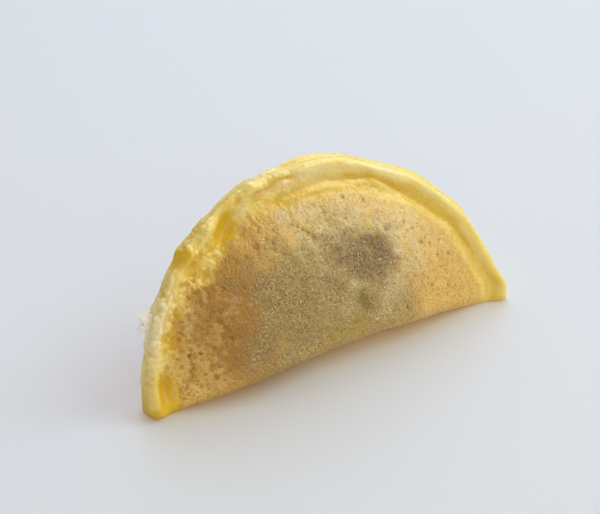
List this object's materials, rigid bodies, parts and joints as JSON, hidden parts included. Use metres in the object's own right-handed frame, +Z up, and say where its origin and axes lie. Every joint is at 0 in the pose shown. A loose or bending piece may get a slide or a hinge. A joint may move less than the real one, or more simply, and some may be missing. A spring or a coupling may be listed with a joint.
{
  "type": "egg dumpling",
  "caption": "Egg dumpling: a small round egg crepe folded in half over a filling, with a flat pressed rim and a puffed belly, standing on its fold.",
  "frame": {"origin": "on the ground, at the middle of the dumpling's box seen from above", "axes": "+X along the fold towards the right tip, +Y to the rear, the way the dumpling leans, +Z up"},
  "size_m": [0.0812, 0.0222, 0.035],
  "materials": {
    "cooked_egg": "moist cooked egg skin: tan and porous over the filling, pale yellow on the pressed rim"
  },
  "bodies": {
    "root": {"egg_dumpling": "cooked_egg"}
  },
  "joints": []
}
